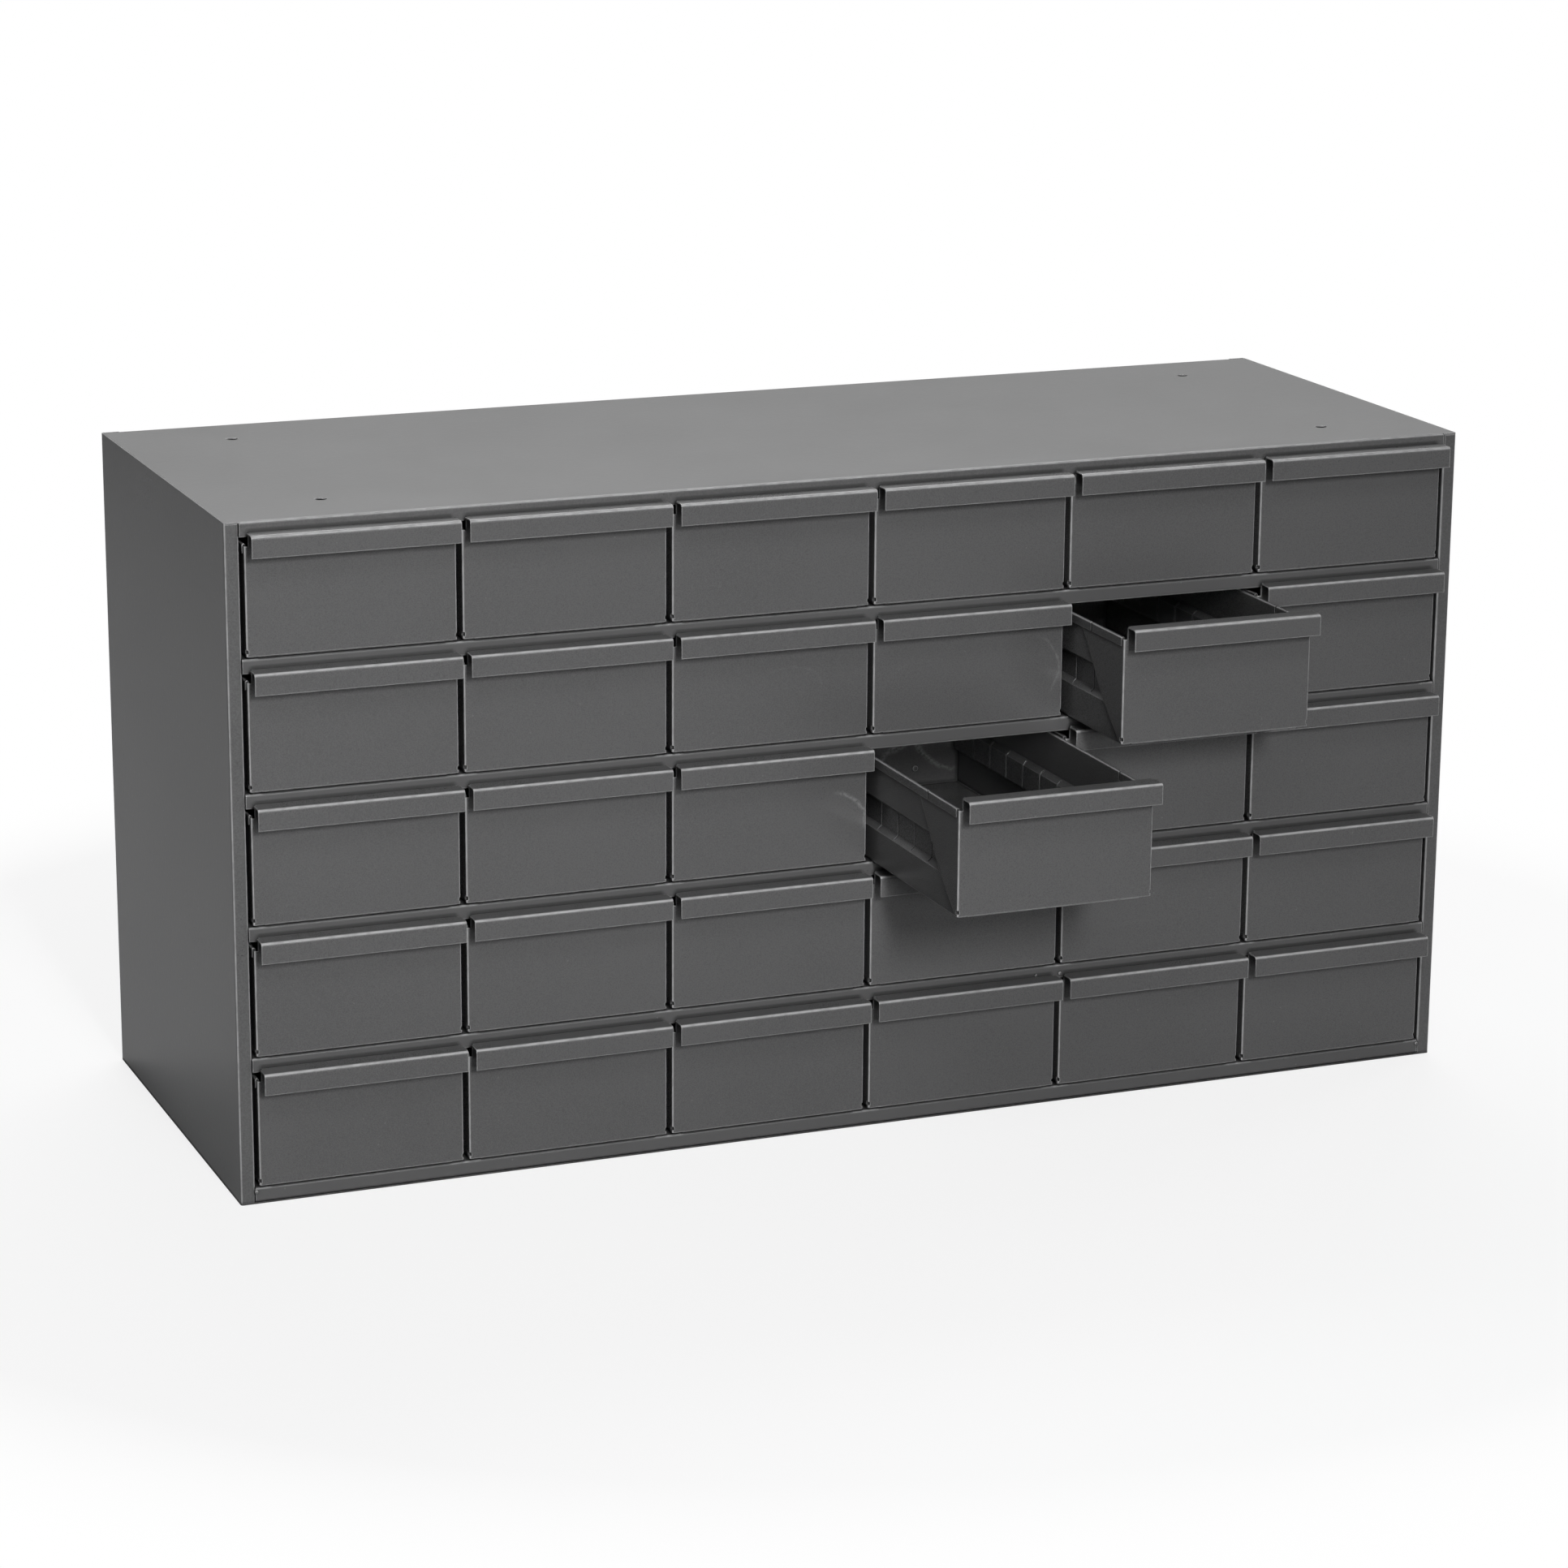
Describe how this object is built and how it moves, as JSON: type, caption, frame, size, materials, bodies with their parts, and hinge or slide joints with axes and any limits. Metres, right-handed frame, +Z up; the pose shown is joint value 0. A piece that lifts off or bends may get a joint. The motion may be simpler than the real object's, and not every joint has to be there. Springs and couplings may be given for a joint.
{
  "type": "small parts drawer cabinet",
  "caption": "Low, wide sheet-steel cabinet for small parts, with a grid of pull-out drawers that have full-width folded pull lips.",
  "frame": {"origin": "centre of the carcass footprint on the floor, on the underside of the bottom panel", "axes": "+Z up, +X to the right as seen from the front, the drawer fronts face -Y"},
  "size_m": [0.8572, 0.4658, 0.4413],
  "materials": {
    "carcass_enamel": "smooth semi-gloss grey enamel",
    "inner_enamel": "the same grey enamel, where it stays out of the light",
    "drawer_enamel": "smooth semi-gloss grey enamel"
  },
  "bodies": {
    "cabinet": {"side_panel_left": "carcass_enamel", "side_panel_right": "carcass_enamel", "top_panel": "carcass_enamel", "bottom_panel": "carcass_enamel", "back_panel": "inner_enamel", "shelf_row1": "inner_enamel", "shelf_row2": "inner_enamel", "shelf_row3": "inner_enamel", "shelf_row4": "inner_enamel", "shelf_row5": "inner_enamel", "guide_blades_row1": "inner_enamel", "guide_blades_row2": "inner_enamel", "guide_blades_row3": "inner_enamel", "guide_blades_row4": "inner_enamel", "guide_blades_row5": "inner_enamel"},
    "drawer_r1_c1": {"drawer_r1_c1": "drawer_enamel"},
    "drawer_r1_c2": {"drawer_r1_c2": "drawer_enamel"},
    "drawer_r1_c3": {"drawer_r1_c3": "drawer_enamel"},
    "drawer_r1_c4": {"drawer_r1_c4": "drawer_enamel"},
    "drawer_r1_c5": {"drawer_r1_c5": "drawer_enamel"},
    "drawer_r1_c6": {"drawer_r1_c6": "drawer_enamel"},
    "drawer_r2_c1": {"drawer_r2_c1_tray": "drawer_enamel", "drawer_r2_c1_front": "drawer_enamel"},
    "drawer_r2_c2": {"drawer_r2_c2_tray": "drawer_enamel", "drawer_r2_c2_front": "drawer_enamel"},
    "drawer_r2_c3": {"drawer_r2_c3_tray": "drawer_enamel", "drawer_r2_c3_front": "drawer_enamel"},
    "drawer_r2_c4": {"drawer_r2_c4_tray": "drawer_enamel", "drawer_r2_c4_front": "drawer_enamel"},
    "drawer_r2_c5": {"drawer_r2_c5_tray": "drawer_enamel", "drawer_r2_c5_front": "drawer_enamel"},
    "drawer_r2_c6": {"drawer_r2_c6_tray": "drawer_enamel", "drawer_r2_c6_front": "drawer_enamel"},
    "drawer_r3_c1": {"drawer_r3_c1_tray": "drawer_enamel", "drawer_r3_c1_front": "drawer_enamel"},
    "drawer_r3_c2": {"drawer_r3_c2_tray": "drawer_enamel", "drawer_r3_c2_front": "drawer_enamel"},
    "drawer_r3_c3": {"drawer_r3_c3_tray": "drawer_enamel", "drawer_r3_c3_front": "drawer_enamel"},
    "drawer_r3_c4": {"drawer_r3_c4_tray": "drawer_enamel", "drawer_r3_c4_front": "drawer_enamel"},
    "drawer_r3_c5": {"drawer_r3_c5_tray": "drawer_enamel", "drawer_r3_c5_front": "drawer_enamel"},
    "drawer_r3_c6": {"drawer_r3_c6_tray": "drawer_enamel", "drawer_r3_c6_front": "drawer_enamel"},
    "drawer_r4_c1": {"drawer_r4_c1": "drawer_enamel"},
    "drawer_r4_c2": {"drawer_r4_c2": "drawer_enamel"},
    "drawer_r4_c3": {"drawer_r4_c3": "drawer_enamel"},
    "drawer_r4_c4": {"drawer_r4_c4": "drawer_enamel"},
    "drawer_r4_c5": {"drawer_r4_c5": "drawer_enamel"},
    "drawer_r4_c6": {"drawer_r4_c6": "drawer_enamel"},
    "drawer_r5_c1": {"drawer_r5_c1": "drawer_enamel"},
    "drawer_r5_c2": {"drawer_r5_c2": "drawer_enamel"},
    "drawer_r5_c3": {"drawer_r5_c3": "drawer_enamel"},
    "drawer_r5_c4": {"drawer_r5_c4": "drawer_enamel"},
    "drawer_r5_c5": {"drawer_r5_c5": "drawer_enamel"},
    "drawer_r5_c6": {"drawer_r5_c6": "drawer_enamel"}
  },
  "joints": [
    {"name": "slide_r1_c1", "type": "slide", "parent": "cabinet", "child": "drawer_r1_c1", "axis": [0, -1, 0], "range_m": [0, 0.235]},
    {"name": "slide_r1_c2", "type": "slide", "parent": "cabinet", "child": "drawer_r1_c2", "axis": [0, -1, 0], "range_m": [0, 0.235]},
    {"name": "slide_r1_c3", "type": "slide", "parent": "cabinet", "child": "drawer_r1_c3", "axis": [0, -1, 0], "range_m": [0, 0.235]},
    {"name": "slide_r1_c4", "type": "slide", "parent": "cabinet", "child": "drawer_r1_c4", "axis": [0, -1, 0], "range_m": [0, 0.235]},
    {"name": "slide_r1_c5", "type": "slide", "parent": "cabinet", "child": "drawer_r1_c5", "axis": [0, -1, 0], "range_m": [0, 0.235]},
    {"name": "slide_r1_c6", "type": "slide", "parent": "cabinet", "child": "drawer_r1_c6", "axis": [0, -1, 0], "range_m": [0, 0.235]},
    {"name": "slide_r2_c1", "type": "slide", "parent": "cabinet", "child": "drawer_r2_c1", "axis": [0, -1, 0], "range_m": [0, 0.235]},
    {"name": "slide_r2_c2", "type": "slide", "parent": "cabinet", "child": "drawer_r2_c2", "axis": [0, -1, 0], "range_m": [0, 0.235]},
    {"name": "slide_r2_c3", "type": "slide", "parent": "cabinet", "child": "drawer_r2_c3", "axis": [0, -1, 0], "range_m": [0, 0.235]},
    {"name": "slide_r2_c4", "type": "slide", "parent": "cabinet", "child": "drawer_r2_c4", "axis": [0, -1, 0], "range_m": [0, 0.235]},
    {"name": "slide_r2_c5", "type": "slide", "parent": "cabinet", "child": "drawer_r2_c5", "axis": [0, -1, 0], "range_m": [-0.083, 0.152]},
    {"name": "slide_r2_c6", "type": "slide", "parent": "cabinet", "child": "drawer_r2_c6", "axis": [0, -1, 0], "range_m": [0, 0.235]},
    {"name": "slide_r3_c1", "type": "slide", "parent": "cabinet", "child": "drawer_r3_c1", "axis": [0, -1, 0], "range_m": [0, 0.235]},
    {"name": "slide_r3_c2", "type": "slide", "parent": "cabinet", "child": "drawer_r3_c2", "axis": [0, -1, 0], "range_m": [0, 0.235]},
    {"name": "slide_r3_c3", "type": "slide", "parent": "cabinet", "child": "drawer_r3_c3", "axis": [0, -1, 0], "range_m": [0, 0.235]},
    {"name": "slide_r3_c4", "type": "slide", "parent": "cabinet", "child": "drawer_r3_c4", "axis": [0, -1, 0], "range_m": [-0.139, 0.096]},
    {"name": "slide_r3_c5", "type": "slide", "parent": "cabinet", "child": "drawer_r3_c5", "axis": [0, -1, 0], "range_m": [0, 0.235]},
    {"name": "slide_r3_c6", "type": "slide", "parent": "cabinet", "child": "drawer_r3_c6", "axis": [0, -1, 0], "range_m": [0, 0.235]},
    {"name": "slide_r4_c1", "type": "slide", "parent": "cabinet", "child": "drawer_r4_c1", "axis": [0, -1, 0], "range_m": [0, 0.235]},
    {"name": "slide_r4_c2", "type": "slide", "parent": "cabinet", "child": "drawer_r4_c2", "axis": [0, -1, 0], "range_m": [0, 0.235]},
    {"name": "slide_r4_c3", "type": "slide", "parent": "cabinet", "child": "drawer_r4_c3", "axis": [0, -1, 0], "range_m": [0, 0.235]},
    {"name": "slide_r4_c4", "type": "slide", "parent": "cabinet", "child": "drawer_r4_c4", "axis": [0, -1, 0], "range_m": [0, 0.235]},
    {"name": "slide_r4_c5", "type": "slide", "parent": "cabinet", "child": "drawer_r4_c5", "axis": [0, -1, 0], "range_m": [0, 0.235]},
    {"name": "slide_r4_c6", "type": "slide", "parent": "cabinet", "child": "drawer_r4_c6", "axis": [0, -1, 0], "range_m": [0, 0.235]},
    {"name": "slide_r5_c1", "type": "slide", "parent": "cabinet", "child": "drawer_r5_c1", "axis": [0, -1, 0], "range_m": [0, 0.235]},
    {"name": "slide_r5_c2", "type": "slide", "parent": "cabinet", "child": "drawer_r5_c2", "axis": [0, -1, 0], "range_m": [0, 0.235]},
    {"name": "slide_r5_c3", "type": "slide", "parent": "cabinet", "child": "drawer_r5_c3", "axis": [0, -1, 0], "range_m": [0, 0.235]},
    {"name": "slide_r5_c4", "type": "slide", "parent": "cabinet", "child": "drawer_r5_c4", "axis": [0, -1, 0], "range_m": [0, 0.235]},
    {"name": "slide_r5_c5", "type": "slide", "parent": "cabinet", "child": "drawer_r5_c5", "axis": [0, -1, 0], "range_m": [0, 0.235]},
    {"name": "slide_r5_c6", "type": "slide", "parent": "cabinet", "child": "drawer_r5_c6", "axis": [0, -1, 0], "range_m": [0, 0.235]}
  ]
}
